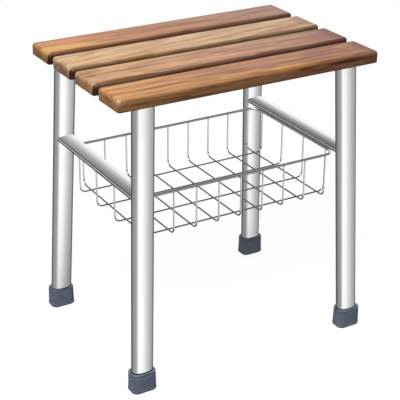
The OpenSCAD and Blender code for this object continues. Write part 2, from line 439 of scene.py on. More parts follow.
class DrawnLines(EffectGroup):
    """Fine lines along Z, as a die leaves on a drawn tube, and a little handling haze."""

    title = "drawn_lines"
    inputs = (("Vector", VECTOR, None), ("Polish", FLOAT, 0.2), ("Haze", FLOAT, 0.05))
    outputs = (("Shade", COLOR), ("Roughness", FLOAT), ("Height", FLOAT))

    def wire(self, w: Wiring, given: Node, result: Node) -> None:
        """Builds the lines from two stretched noises and the haze from a round one."""
        vector = given.outputs["Vector"]
        lines = w.noise(w.stretch(vector, (700.0, 700.0, 4.0)), detail=3.0, roughness=0.6)
        bands = w.noise(w.stretch(vector, (160.0, 160.0, 1.5), (3.0, 5.0, 1.0)), detail=2.0)
        haze = w.noise(vector, scale=34.0, detail=4.0, roughness=0.6)
        both = w.maths("MULTIPLY_ADD", bands, 0.5, w.maths("MULTIPLY", lines, 0.5))
        shade = w.ramp(both, ((0.3, (0.94, 0.94, 0.945)), (0.7, (1.0, 1.0, 1.0))))
        w.feed(result.inputs["Shade"], shade)
        rough = w.maths("MULTIPLY_ADD", w.span(haze, 0.35, 0.75), given.outputs["Haze"],
                        given.outputs["Polish"])
        w.feed(result.inputs["Roughness"], w.maths("MULTIPLY_ADD", lines, 0.02, rough))
        w.feed(result.inputs["Height"], both)


class Speckle(EffectGroup):
    """A fine even grain with broader dull patches, for moulded rubber and plastic."""

    title = "moulded_speckle"
    inputs = (("Vector", VECTOR, None), ("Fineness", FLOAT, 1.0))
    outputs = (("Patch", FLOAT), ("Height", FLOAT))

    def wire(self, w: Wiring, given: Node, result: Node) -> None:
        """Builds the grain from one fine noise and the patches from one broad noise."""
        vector = w.node("VectorMath", operation="SCALE")
        w.feed(vector.inputs[0], given.outputs["Vector"])
        w.feed(vector.inputs["Scale"], given.outputs["Fineness"])
        grain = w.noise(vector.outputs[0], scale=1400.0, detail=2.0)
        patch = w.noise(vector.outputs[0], scale=90.0, detail=4.0, roughness=0.6)
        w.feed(result.inputs["Patch"], w.span(patch, 0.3, 0.7))
        w.feed(result.inputs["Height"], grain)


# Finishes ---------------------------------------------------------------------------------


@dataclass(frozen=True)
class Finish:
    """A surface finish that makes one material.

    Attributes:
        name: The material's name.
    """

    name: str

    def material(self) -> Material:
        """The finish's material, made on first use.

        Returns:
            The material.
        """
        found = bpy.data.materials.get(self.name)
        if found:
            return found
        made = bpy.data.materials.new(self.name)
        made.use_nodes = True
        made.node_tree.nodes.clear()
        w = Wiring(made.node_tree)
        shader = w.node("BsdfPrincipled")
        place = w.node("TexCoord").outputs["Object"]
        self.wire(w, shader, place)
        w.feed(w.node("OutputMaterial").inputs["Surface"], shader.outputs[0])
        return made

    def wire(self, w: Wiring, shader: Node, place: NodeSocket) -> None:
        """Feeds the shader.

        Args:
            w: The material's wiring.
            shader: Its Principled shader.
            place: The surface's object coordinates.
        """
        raise NotImplementedError

    @staticmethod
    def bump(w: Wiring, shader: Node, height: NodeSocket, strength: float,
             distance: float) -> None:
        """Feeds the shader's normal from a height.

        Args:
            w: The material's wiring.
            shader: Its Principled shader.
            height: The height pattern.
            strength: How strong the bumps are.
            distance: How high they are, in metres.
        """
        made = w.node("Bump")
        w.feed(made.inputs["Strength"], strength)
        w.feed(made.inputs["Distance"], distance)
        w.feed(made.inputs["Height"], height)
        w.feed(shader.inputs["Normal"], made.outputs[0])


@dataclass(frozen=True)
class Patch:
    """A knot, a run of colour, a painted highlight or painted shade in a slat.

    Attributes:
        tint: Its colour.
        centre: Where it is, from the slat's middle, in millimetres.
        reach: How far it reaches each way, in millimetres.
        strength: How strong it is.
        ragged: How ragged its edge is.
        turn: How it is turned across the slat, in degrees.
    """

    tint: Colour
    centre: tuple[float, float, float]
    reach: tuple[float, float, float]
    strength: float
    ragged: float = 0.8
    turn: float = 0.0


@dataclass(frozen=True)
class Teak(Finish):
    """Oiled teak, cut its own way out of the log for each slat.

    Attributes:
        left: The tint towards the left end.
        right: The tint towards the right end.
        streak: The tint of dark streaks and late wood.
        pale: The tint of pale streaks.
        heart: Where the log's heart runs, from the slat's middle, in metres.
        tilt: How the grain turns from the slat's length, in degrees about X, Y and Z.
        rings: How strong the growth rings are.
        streaks: How strong the streaks are.
        middle: The slat's middle.
        reach: Half the slat's length.
        top: The height of the slat's upper face.
        thick: The slat's thickness.
        patches: Its knots, runs of colour, and its painted corner highlight and painted corner
            shade.
        front_dark: How much painted shade its front side takes.
        back_dark: How much painted shade its back side takes.
        ends_painted_shade: How much painted shade its left and right ends take.
        painted_shade_tint: What its colour is multiplied by where the painted shade is
            deepest.
    """

    left: Colour
    right: Colour
    streak: Colour
    pale: Colour
    heart: tuple[float, float, float]
    tilt: tuple[float, float, float]
    rings: float
    streaks: float
    middle: tuple[float, float, float]
    reach: float
    top: float
    thick: float
    patches: tuple[Patch, ...] = ()
    front_dark: float = 1.0
    back_dark: float = 1.0
    ends_painted_shade: tuple[float, float] = (0.22, 0.85)
    painted_shade_tint: Colour = (0.09, 0.055, 0.038)

    def wire(self, w: Wiring, shader: Node, place: NodeSocket) -> None:
        """Feeds the shader from the teak figure."""
        turn = Euler([math.radians(a) for a in self.tilt])
        heart = Vector(self.middle) + Vector(self.heart)
        grain = w.node("Mapping", vector_type="POINT")
        w.feed(grain.inputs["Vector"], place)
        grain.inputs["Location"].default_value = -(turn.to_matrix() @ heart)
        grain.inputs["Rotation"].default_value = turn
        x = w.axes(place)[0]
        along = w.span(x, self.middle[0] - self.reach, self.middle[0] + self.reach,
                       smooth=False)
        figure = TeakFigure().place(
            w, Grain=grain.outputs[0], Along=along, Left_Tint=self.left,
            Right_Tint=self.right, Streak_Tint=self.streak, Pale_Tint=self.pale,
            Rings=self.rings, Streaks=self.streaks)
        colour = figure.outputs["Color"]
        for patch in self.patches:
            centre = Vector(self.middle) + Vector(patch.centre) * MM
            mask = SoftPatch().place(
                w, Vector=place, Centre=centre, Reach=Vector(patch.reach) * MM,
                Turn=-math.radians(patch.turn), Ragged=patch.ragged)
            colour = w.mix(w.maths("MULTIPLY", mask.outputs["Mask"], patch.strength),
                           colour, patch.tint)
        # Painted shade: the upright faces are multiplied towards a dark tint, more so lower
        # down, for the shade in the gaps between slats and on the ends.
        depth = w.span(w.axes(place)[2], self.top, self.top - self.thick, smooth=False)
        sides = PaintedSideShade().place(
            w, Normal=w.node("NewGeometry").outputs["Normal"], Depth=depth,
            Front=self.front_dark, Back=self.back_dark, Left=self.ends_painted_shade[0],
            Right=self.ends_painted_shade[1])
        colour = w.mix(sides.outputs["Mask"], colour, self.painted_shade_tint, "MULTIPLY")
        w.feed(shader.inputs["Base Color"], colour)
        w.feed(shader.inputs["Roughness"], figure.outputs["Roughness"])
        shader.inputs["Specular IOR Level"].default_value = 0.18
        self.bump(w, shader, figure.outputs["Height"], 0.3, 0.0003)


@dataclass(frozen=True)
class DrawnMetal(Finish):
    """Drawn metal with fine lines along its length.

    Attributes:
        tint: The metal's colour.
        polish: How rough it is.
        haze: How much rougher its dull patches are.
        turn: The turn that stands its length upright, in radians about X, Y and Z.
    """

    tint: Colour
    polish: float
    haze: float
    turn: tuple[float, float, float] = (0.0, 0.0, 0.0)

    def wire(self, w: Wiring, shader: Node, place: NodeSocket) -> None:
        """Feeds the shader from the drawn lines."""
        upright = w.node("Mapping", vector_type="POINT")
        w.feed(upright.inputs["Vector"], place)
        upright.inputs["Rotation"].default_value = self.turn
        lines = DrawnLines().place(w, Vector=upright.outputs[0], Polish=self.polish,
                                   Haze=self.haze)
        w.feed(shader.inputs["Base Color"],
               w.mix(1.0, lines.outputs["Shade"], self.tint, "MULTIPLY"))
        shader.inputs["Metallic"].default_value = 1.0
        w.feed(shader.inputs["Roughness"], lines.outputs["Roughness"])
        self.bump(w, shader, lines.outputs["Height"], 0.04, 0.00002)


@dataclass(frozen=True)
class PaintedShadeMetal(DrawnMetal):
    """Drawn metal painted darker below a height, as painted shade.

    Attributes:
        dull: Its colour below that height, a painted shade.
        low: The height below which it takes the painted shade.
        high: The height above which it keeps its own colour.
    """

    dull: Colour = (0.5, 0.5, 0.5)
    low: float = 0.0
    high: float = 0.01

    def wire(self, w: Wiring, shader: Node, place: NodeSocket) -> None:
        """Feeds the shader from the drawn lines, and paints shade on what lies low."""
        super().wire(w, shader, place)
        bright = shader.inputs["Base Color"].links[0].from_socket
        high = w.span(w.axes(place)[2], self.low, self.high)
        w.feed(shader.inputs["Base Color"], w.mix(high, self.dull, bright))


@dataclass(frozen=True)
class Moulded(Finish):
    """Moulded rubber or plastic.

    Attributes:
        tint: Its colour.
        worn: Its colour where it is scuffed.
        rough: How rough it is.
        grain: How strong its fine grain is.
    """

    tint: Colour
    worn: Colour
    rough: float
    grain: float

    def wire(self, w: Wiring, shader: Node, place: NodeSocket) -> None:
        """Feeds the shader from the moulded speckle."""
        speckle = Speckle().place(w, Vector=place, Fineness=1.0)
        patch = speckle.outputs["Patch"]
        w.feed(shader.inputs["Base Color"], w.mix(patch, self.tint, self.worn))
        w.feed(shader.inputs["Roughness"],
               w.span(patch, 0.0, 1.0, self.rough - 0.05, self.rough + 0.08))
        self.bump(w, shader, speckle.outputs["Height"], self.grain, 0.0002)


@dataclass(frozen=True)
class PaleFloor(Finish):
    """The studio's floor, lit from within so that shadows stay faint.

    Attributes:
        glow: How much light it gives of its own.
        shade: How much of the light on it it gives back.
    """

    glow: float
    shade: float

    def wire(self, w: Wiring, shader: Node, place: NodeSocket) -> None:
        """Feeds the shader with plain values and a breath of unevenness."""
        mottle = w.noise(place, scale=3.0, detail=2.0)
        w.feed(shader.inputs["Base Color"], w.ramp(mottle, (
            (0.0, (self.shade * 0.99,) * 3), (1.0, (self.shade,) * 3))))
        shader.inputs["Roughness"].default_value = 1.0
        shader.inputs["Specular IOR Level"].default_value = 0.0
        w.feed(shader.inputs["Emission Color"], (1.0, 1.0, 1.0))
        shader.inputs["Emission Strength"].default_value = self.glow


# Pieces -----------------------------------------------------------------------------------


class Workshop:
    """Turns bmeshes into finished pieces and dresses the frame's own nodes."""

    @staticmethod
    def piece(name: str, bm: bmesh.types.BMesh, finish: Finish, slot: Slot,
              stands_for: Iterable[str] = (), sharp: float = 40.0) -> Object:
        """Makes a finished piece out of a bmesh.

        Args:
            name: The piece's name.
            bm: Its shape, in the stool's own frame. It is freed.
            finish: Its finish.
            slot: The record's slot for the piece; not used.
            stands_for: The frame nodes that it replaces.
            sharp: The angle past which an edge stays sharp, in degrees.

        Returns:
            The piece's object.
        """
        bmesh.ops.remove_doubles(bm, verts=bm.verts, dist=1e-7)
        bmesh.ops.recalc_face_normals(bm, faces=bm.faces)
        for face in bm.faces:
            face.smooth = True
        for edge in bm.edges:
            if edge.is_manifold and edge.calc_face_angle(0.0) > math.radians(sharp):
                edge.smooth = False
        mesh = bpy.data.meshes.new(name)
        bm.to_mesh(mesh)
        bm.free()
        mesh.materials.append(finish.material())
        made = bpy.data.objects.new(name, mesh)
        made.visible_glossy = False
        bpy.context.scene.collection.objects.link(made)
        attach(made, BODY)
        replaced = list(stands_for)
        if replaced:
            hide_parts(*replaced)
        log.info("%s: %d faces in %s%s", name, len(mesh.polygons), finish.name,
                 f", for {', '.join(replaced)}" if replaced else "")
        return made

    @staticmethod
    def dress(node: str, finish: Finish) -> None:
        """Gives one of the frame's own nodes a finish.

        Args:
            node: The node's name.
            finish: Its finish.
        """
        target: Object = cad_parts[node]
        target.visible_glossy = False
        made = finish.material()
        for slot in target.material_slots:
            slot.material = made
        log.info("%s: dressed in %s", node, finish.name)


@dataclass
class Slat:
    """One seat slat: a board with rounded corners and edges.

    Attributes:
        node: The frame node that it stands for.
        slot: The slot of its finish.
        finish: Its finish.
        corner: The radius of its upright corners.
        top_round: The radius over its upper edges.
        under_round: The radius over its lower edges.
        ease: How far off a level a point may be and still count as on it.
    """

    node: str
    slot: Slot
    finish: Teak
    corner: float = 5.0 * MM
    top_round: float = 4.9 * MM
    under_round: float = 2.0 * MM
    ease: float = 0.15 * MM

    def build(self) -> Object:
        """Builds the board from a cube.

        Returns:
            The slat's object.
        """
        low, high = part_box(self.node)
        bm = bmesh.new()
        bmesh.ops.create_cube(bm, size=1.0)
        bmesh.ops.scale(bm, vec=high - low, verts=bm.verts)
        bmesh.ops.translate(bm, vec=(low + high) / 2, verts=bm.verts)
        upright = [e for e in bm.edges if abs(e.verts[0].co.z - e.verts[1].co.z) > self.ease]
        bmesh.ops.bevel(bm, geom=upright, offset=self.corner, segments=8, profile=0.5,
                        affect="EDGES", material=-1)
        for height, radius, steps in ((high.z, self.top_round, 8),
                                      (low.z, self.under_round, 4)):
            rim = [e for e in bm.edges
                   if all(abs(v.co.z - height) < self.ease for v in e.verts)]
            bmesh.ops.bevel(bm, geom=rim, offset=radius, segments=steps, profile=0.5,
                            affect="EDGES", material=-1)
        return Workshop.piece(f"{self.node}_board", bm, self.finish, self.slot,
                              [self.node], sharp=50.0)


@dataclass
class Seat:
    """The four teak slats.

    Attributes:
        slats: The slats, from back to front.
    """

    slats: list[Slat] = field(default_factory=list)

    @staticmethod
    def end_tint_and_painted_corners(end: Colour, pale: Colour, centre: float, reach: float,
                  strength: float) -> tuple[Patch, ...]:
        """Three patches on every slat: a darker tint over its right end, a painted highlight
        on its front left corner and painted shade on its front right one.

        Args:
            end: The right end's tint.
            pale: The tint of the front left corner's painted highlight.
            centre: Where the right end's patch lies along the slat, in millimetres.
            reach: How far that patch reaches along the slat, in millimetres.
            strength: How strong that patch is.

        Returns:
            The three patches.
        """
        # A darker tint over the right end, a painted highlight on the front left corner and
        # painted shade on the front right corner.
        return (Patch(end, (centre, 0, 8), (reach, 50, 20), strength, 0.6),
                Patch(pale, (-209, -27, 5), (5, 5, 9), 0.65, 0.4),
                Patch(srgb(44, 28, 26), (211, -28, -1), (7, 7, 11), 0.9, 0.4))

    def plan(self) -> None:
        """Chooses each slat's wood."""
        def teak(node: str, **choice: object) -> Teak:
            """The finish of one slat, laid out from its box."""
            low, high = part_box(node)
            return Teak(name=f"teak_{node}", middle=tuple((low + high) / 2),
                        reach=(high.x - low.x) / 2, top=high.z, thick=high.z - low.z,
                        **choice)

        self.slats = [
            Slat("slat_back", Slot.TEAK_BACK, teak(
                "slat_back", left=srgb(190, 134, 92), right=srgb(170, 132, 116),
                streak=srgb(120, 62, 34), pale=srgb(214, 160, 112),
                heart=(0.0, -0.020, -0.050), tilt=(0.0, 1.6, 1.2), rings=0.24, streaks=0.55,
                back_dark=0.5, patches=(
                    Patch(srgb(216, 166, 94), (-190, -14, 8), (100, 15, 14), 0.85, 0.5, -4),
                    Patch(srgb(208, 140, 106), (-150, 16, 9), (40, 7, 6), 0.4),
                    Patch(srgb(196, 128, 84), (-30, -10, 9), (80, 8, 6), 0.35),
                    *self.end_tint_and_painted_corners(srgb(150, 116, 104), srgb(228, 184, 150), 206, 26, 0.6)))),
            Slat("slat_mid_back", Slot.TEAK_MID_BACK, teak(
                "slat_mid_back", left=srgb(211, 172, 134), right=srgb(206, 170, 134),
                streak=srgb(138, 86, 46), pale=srgb(234, 202, 156),
                heart=(0.1, 0.030, -0.040), tilt=(0.0, -2.2, -3.4), rings=0.30,
                streaks=0.68, patches=(
                    Patch(srgb(150, 98, 92), (-206, -8, -2), (20, 26, 12), 0.7),
                    Patch(srgb(206, 146, 72), (-110, -26, 4), (95, 7, 8), 0.6),
                    Patch(srgb(170, 118, 92), (158, -15, 8), (95, 9, 9), 0.85, 0.5, 9),
                    Patch(srgb(138, 92, 62), (-30, -2, 9), (60, 1.6, 5), 0.6, 1.4, 4),
                    *self.end_tint_and_painted_corners(srgb(156, 122, 102), srgb(236, 206, 184), 208, 30,
                                    0.75)))),
            Slat("slat_mid_front", Slot.TEAK_MID_FRONT, teak(
                "slat_mid_front", left=srgb(207, 162, 120), right=srgb(166, 120, 104),
                streak=srgb(118, 66, 44), pale=srgb(226, 182, 132),
                heart=(-0.1, 0.004, -0.046), tilt=(0.0, 2.2, 1.8), rings=0.26, streaks=0.62,
                patches=(
                    Patch(srgb(112, 78, 84), (-199, 0, 8), (12, 6, 8), 0.9, 0.5),
                    Patch(srgb(128, 74, 46), (-140, 2, 9), (70, 2.6, 6), 0.85, 1.2),
                    Patch(srgb(132, 82, 72), (-90, -24, 8), (60, 3, 6), 0.7, 1.2),
                    Patch(srgb(150, 106, 104), (186, 2, 8), (40, 20, 9), 0.6, 0.6),
                    Patch(srgb(206, 134, 66), (-209, -8, -4), (9, 24, 8), 0.7),
                    *self.end_tint_and_painted_corners(srgb(116, 80, 78), srgb(232, 200, 180), 208, 30, 0.75)))),
            Slat("slat_front", Slot.TEAK_FRONT, teak(
                "slat_front", left=srgb(206, 151, 96), right=srgb(158, 108, 84),
                streak=srgb(98, 50, 28), pale=srgb(218, 166, 110),
                heart=(0.05, 0.030, -0.052), tilt=(0.0, -1.8, 1.2), rings=0.26,
                streaks=0.6, front_dark=0.46, patches=(
                    Patch(srgb(170, 116, 106), (30, 2, 9), (50, 14, 8), 0.5, 0.7),
                    Patch(srgb(140, 92, 90), (130, 6, 9), (50, 16, 8), 0.55, 0.7),
                    Patch(srgb(112, 62, 44), (120, -4, 9), (60, 2.6, 6), 0.7, 1.3, -3),
                    Patch(srgb(206, 142, 70), (60, -27, 6), (70, 5, 6), 0.6, 1.0),
                    Patch(srgb(62, 28, 14), (150, -30, 2), (50, 8, 4), 0.8, 1.5),
                    Patch(srgb(84, 40, 18), (84, -30, 3), (30, 6, 3), 0.7, 1.4),
                    *self.end_tint_and_painted_corners(srgb(120, 84, 72), srgb(238, 204, 174), 208, 26, 0.65)))),
        ]

    def build(self) -> None:
        """Builds the slats."""
        self.plan()
        for slat in self.slats:
            slat.build()


@dataclass
class LegAxis:
    """A leg's middle line, found from its node's box.

    Attributes:
        side: The leg's side.
        end: The leg's end.
        width: The tube's width.
        depth: The tube's depth.
        end_radius: The radius of the tube's narrow ends.
    """

    side: Side
    end: End
    width: float = 33.5 * MM
    depth: float = 21.0 * MM
    end_radius: float = 9.3 * MM

    @property
    def node(self) -> str:
        """The leg's frame node."""
        return f"leg_{self.end.name.lower()}_{self.side.name.lower()}"

    def points(self) -> tuple[Vector, Vector]:
        """The middle line's lowest and highest points.

        Returns:
            The two points.
        """
        low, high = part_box(self.node)
        tall = high.z - low.z

        def ends(near: float, far: float, half: float) -> tuple[float, float]:
            """The line's outer and inner place along one axis, from the box's edges."""
            lean = abs(far - near) - 2 * half
            slack = half / math.cos(math.atan2(lean, tall))
            away = math.copysign(slack, far - near)
            return far - away, near + away

        x = (low.x, high.x) if self.side is Side.RIGHT else (high.x, low.x)
        y = (low.y, high.y) if self.end is End.BACK else (high.y, low.y)
        foot_x, top_x = ends(*x, self.width / 2)
        foot_y, top_y = ends(*y, self.depth / 2)
        return Vector((foot_x, foot_y, low.z)), Vector((top_x, top_y, high.z))

    def stand(self) -> Matrix:
        """The turn and shift that puts an upright tube on the leg's line.

        Returns:
            The placing matrix.
        """
        foot, top = self.points()
        up = (top - foot).normalized()
        across = Vector((1.0, 0.0, 0.0))
        across = (across - up * across.dot(up)).normalized()
        turn = Matrix((across, up.cross(across), up)).transposed()
        return Matrix.Translation(foot) @ turn.to_4x4()

    def at(self, height: float) -> Vector:
        """Where the line is at a height.

        Args:
            height: The height above the floor.

        Returns:
            The point.
        """
        foot, top = self.points()
        return foot.lerp(top, (height - foot.z) / (top.z - foot.z))


@dataclass
class Understructure:
    """The legs, their top plugs, the rails and the crossbars.

    Attributes:
        aluminium: The tubes' colour.
    """

    aluminium: Colour = (0.91, 0.912, 0.915)

    def build(self) -> None:
        """Dresses the tubes, each with its lines along its own length."""
        for side in Side:
            for end in End:
                leg = LegAxis(side, end)
                upright = tuple(leg.stand().inverted().to_euler())
                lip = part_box(leg.node.replace("leg", "foot"))[1].z
                # Painted shade: each tube turns near-black just above its foot's lip, for the
                # dark gap at the foot's mouth.
                Workshop.dress(leg.node, PaintedShadeMetal(
                    f"aluminium_{leg.node}", self.aluminium, 0.13, 0.03, upright,
                    dull=(0.02, 0.02, 0.024), low=lip + 0.9 * MM, high=lip + 1.9 * MM))
            along_y = (math.radians(90), 0.0, 0.0)
            for rail in ("top_rail", "crossbar"):
                Workshop.dress(f"{rail}_{side.name.lower()}", DrawnMetal(
                    "aluminium_rails", self.aluminium, 0.13, 0.03, along_y))
        Workshop.dress("leg_top_plugs", Moulded(
            "black_plastic", srgb(38, 38, 40), srgb(52, 52, 54), 0.5, 0.2))


@dataclass
class RubberFoot:
    """A moulded rubber foot pressed over a leg's end, with ribs across its narrow ends.

    Attributes:
        leg: The leg that it is on.
        corner: The radius of its upright corners at the sole.
        bore_floor: How thick it is under the tube.
        steps: How many points there are round it.
        ribs: How many grooves there are across each narrow end.
        rib_depth: How deep they are, in millimetres.
    """

    leg: LegAxis
    corner: float = 9.5 * MM
    bore_floor: float = 6.0 * MM
    steps: int = 48
    ribs: int = 5
    rib_depth: float = 0.55

    @property
    def node(self) -> str:
        """The foot's frame node."""
        return self.leg.node.replace("leg", "foot")

    def rings(self) -> list[tuple[float, float, float]]:
        """The foot's outside from the middle of its tread up to its lip.

        Returns:
            Each ring's inset from the sole's outline, height and rib depth, in millimetres.
        """
        tread = [(6.2, 0.8), (6.0, 0.0), (4.8, 0.0), (4.6, 0.7), (3.9, 0.7), (3.7, 0.0)]
        heel = [(3.0, 0.0), (1.5, 0.4), (0.55, 1.28), (0.1, 2.2), (0.0, 3.0), (0.05, 4.6),
                (0.15, 5.0), (0.35, 5.3), (0.4, 5.9)]
        grooves = []
        for i in range(self.ribs):
            middle = 9.2 + 3.6 * i
            for step, depth in ((-0.9, 0.0), (-0.45, 1.0), (0.45, 1.0), (0.9, 0.0)):
                height = middle + step
                grooves.append((0.3 + height / 50, height, depth * self.rib_depth))
        lip = [(0.85, 27.2), (1.15, 27.5), (1.15, 27.9), (0.95, 28.2), (0.95, 29.9),
               (1.0, 30.8), (1.15, 31.3), (1.35, 31.5)]
        return ([(*ring, 0.0) for ring in tread + heel] + grooves
                + [(*ring, 0.0) for ring in lip])

    def build(self, rubber: Finish) -> Object:
        """Builds the foot ring by ring, from its tread up to its lip and into its bore.

        Args:
            rubber: The foot's finish.

        Returns:
            The foot's object.
        """
        low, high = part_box(self.node)
        middle = (low + high) / 2
        reach = (high - low) / 2 - Vector((self.corner, self.corner, 0.0))

        def axis(place: Vector) -> Vector:
            """The axis of the upright corner that a place belongs to, at its height."""
            return Vector((middle.x + math.copysign(reach.x, place.x - middle.x),
                           middle.y + math.copysign(reach.y, place.y - middle.y), place.z))

        def spread(verts: Iterable[bmesh.types.BMVert], inset: float, height: float,
                   rib: float) -> None:
            """Moves a ring onto the foot's outline, inset by some millimetres."""
            for v in verts:
                spine = axis(v.co)
                out = (v.co - spine).normalized()
                at_end = min(max((abs(out.x) - 0.7) / 0.2, 0.0), 1.0)
                place = spine + out * (self.corner - (inset + rib * at_end) * MM)
                v.co = Vector((place.x, place.y, height * MM))

        bm = bmesh.new()
        ring = bmesh.ops.create_circle(bm, cap_ends=True, radius=self.corner,
                                       segments=self.steps)
        bmesh.ops.rotate(bm, verts=ring["verts"],
                         matrix=Matrix.Rotation(math.pi / self.steps, 3, "Z"))
        for v in ring["verts"]:
            v.co = axis(v.co + middle) + v.co
        spread(ring["verts"], 6.5, 0.8, 0.0)
        edges = list(bm.edges)
        for inset, height, rib in self.rings():
            made = bmesh.ops.extrude_edge_only(bm, edges=edges)["geom"]
            spread([g for g in made if isinstance(g, bmesh.types.BMVert)],
                   inset, height, rib)
            edges = [g for g in made if isinstance(g, bmesh.types.BMEdge)
                     and g.is_boundary]

        # The mouth stands a little off the leaning tube, and the bore grips it lower down
        foot, top = self.leg.points()
        stand = self.leg.stand()
        up = (top - foot).normalized()
        tall = high.z
        on_lip = True
        for gap, height in ((0.75, tall - 0.3 * MM), (0.6, tall - 2.2 * MM),
                            (0.1, tall - 4.2 * MM), (0.0, self.bore_floor)):
            made = bmesh.ops.extrude_edge_only(bm, edges=edges)["geom"]
            for v in (g for g in made if isinstance(g, bmesh.types.BMVert)):
                if on_lip:
                    out = (v.co - axis(v.co)).normalized()
                else:
                    out = self.outward(v.co - self.leg.at(v.co.z))
                v.co = self.on_tube(stand, up, out, gap * MM, height)
            on_lip = False
            edges = [g for g in made if isinstance(g, bmesh.types.BMEdge) and g.is_boundary]
        bmesh.ops.holes_fill(bm, edges=edges, sides=0)
        return Workshop.piece(f"{self.node}_cap", bm, rubber, Slot.RUBBER, [self.node],
                              sharp=50.0)

    def outward(self, offset: Vector) -> Vector:
        """The tube wall's normal at a place on it.

        Args:
            offset: The place, from the tube's middle.

        Returns:
            The outward direction, level with the floor.
        """
        half = self.leg.width / 2 - self.leg.end_radius
        side_radius = self.side_radius()
        lift = side_radius - self.leg.depth / 2
        meet = half * side_radius / (side_radius - self.leg.end_radius)
        flat = Vector((offset.x, offset.y, 0.0))
        if abs(flat.x) < meet:
            return (flat + Vector((0.0, math.copysign(lift, flat.y), 0.0))).normalized()
        return (flat - Vector((math.copysign(half, flat.x), 0.0, 0.0))).normalized()

    def side_radius(self) -> float:
        """The radius of the tube's long, crowned sides.

        Returns:
            The radius.
        """
        half = self.leg.width / 2 - self.leg.end_radius
        depth, small = self.leg.depth, self.leg.end_radius
        return (half * half + depth * depth / 4 - small * small) / (depth - 2 * small)

    def on_tube(self, stand: Matrix, up: Vector, out: Vector, gap: float,
                height: float) -> Vector:
        """The point of the tube's wall whose normal points a given way.

        Args:
            stand: The leg's placing matrix.
            up: The leg's direction.
            out: The wall's normal there.
            gap: How far off the wall the point is.
            height: The point's height above the floor.

        Returns:
            The point.
        """
        half = self.leg.width / 2 - self.leg.end_radius
        side_radius = self.side_radius()
        lift = side_radius - self.leg.depth / 2
        turn = math.atan2(lift, half)
        if math.atan2(abs(out.y), abs(out.x)) > turn:
            spot = out * (side_radius + gap) - Vector((0.0, math.copysign(lift, out.y), 0.0))
        else:
            spot = out * (self.leg.end_radius + gap)
            spot += Vector((math.copysign(half, out.x), 0.0, 0.0))
        place = stand @ spot
        return place + up * ((height - place.z) / up.z)


@dataclass
class Basket:
    """The wire basket, its welds and its fixing tabs.

    Attributes:
        nugget: The radius of a spot weld.
        thick: The diameter of the grid wires.
        long_count: How many wires run lengthwise.
        cross_count: How many wires run crosswise.
        tab_reach: The length of a fixing tab, left to right.
        tab_width: Its width, front to back.
    """

    nugget: float = 1.35 * MM
    thick: float = 2.4 * MM
    long_count: int = 4
    cross_count: int = 9
    tab_reach: float = 17 * MM
    tab_width: float = 16 * MM

    def build(self, wire: Finish, steel: Finish) -> None:
        """Dresses the wires and adds the welds and tabs.

        Args:
            wire: The wires' finish.
            steel: The screws' finish.
        """
        for node in ("basket_rim", "basket_long_wires", "basket_cross_wires"):
            Workshop.dress(node, wire)
        Workshop.dress("basket_screws", steel)
        self.welds(wire)
        self.tabs(wire)

    def welds(self, wire: Finish) -> Object:
        """Builds the spot welds where the wires cross and meet the rim.

        Args:
            wire: The wires' finish.

        Returns:
            The welds' object.
        """
        long_low, long_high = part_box("basket_long_wires")
        cross_low, cross_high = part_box("basket_cross_wires")
        under_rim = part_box("basket_rim")[0].z + 0.2 * MM

        def row(low: float, high: float, count: int) -> list[float]:
            """The middles of evenly spaced wires between two outer faces."""
            step = (high - low - self.thick) / (count - 1)
            return [low + self.thick / 2 + i * step for i in range(count)]

        ys = row(long_low.y, long_high.y, self.long_count)
        xs = row(cross_low.x, cross_high.x, self.cross_count)
        floor = cross_low.z
        edge_x = long_high.x - self.thick / 2
        edge_y = cross_high.y - self.thick / 2
        spots = [Vector((x, y, floor)) for x in xs for y in ys]
        spots += [Vector((s * edge_x, y, under_rim)) for s in (-1, 1) for y in ys]
        spots += [Vector((x, s * edge_y, under_rim)) for s in (-1, 1) for x in xs]
        bm = bmesh.new()
        for spot in spots:
            made = bmesh.ops.create_icosphere(bm, subdivisions=2, radius=self.nugget)
            bmesh.ops.scale(bm, vec=(1.05, 1.05, 0.75), verts=made["verts"])
            bmesh.ops.translate(bm, vec=spot, verts=made["verts"])
        return Workshop.piece("basket_welds", bm, wire, Slot.WIRE)

    def tabs(self, wire: Finish) -> Object:
        """Builds the four tabs that hold the rim under the crossbars.

        Args:
            wire: The wires' finish.

        Returns:
            The tabs' object.
        """
        low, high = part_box("basket_tabs")
        size = Vector((self.tab_reach, self.tab_width, high.z - low.z))
        bm = bmesh.new()
        for side in Side:
            for end in End:
                made = bmesh.ops.create_cube(bm, size=1.0)
                bmesh.ops.scale(bm, vec=size, verts=made["verts"])
                centre = Vector((side.value * (high.x - size.x / 2),
                                 end.value * (high.y - size.y / 2), (low.z + high.z) / 2))
                bmesh.ops.translate(bm, vec=centre, verts=made["verts"])
        upright = [e for e in bm.edges if abs(e.verts[0].co.z - e.verts[1].co.z) > MM]
        bmesh.ops.bevel(bm, geom=upright, offset=3.0 * MM, segments=5, profile=0.5,
                        affect="EDGES", material=-1)
        flat = [e for e in bm.edges if abs(e.verts[0].co.z - e.verts[1].co.z) < 0.1 * MM]
        bmesh.ops.bevel(bm, geom=flat, offset=0.35 * MM, segments=2, profile=0.5,
                        affect="EDGES", material=-1)
        return Workshop.piece("basket_tab_plates", bm, wire, Slot.WIRE, ["basket_tabs"])


# Studio -----------------------------------------------------------------------------------


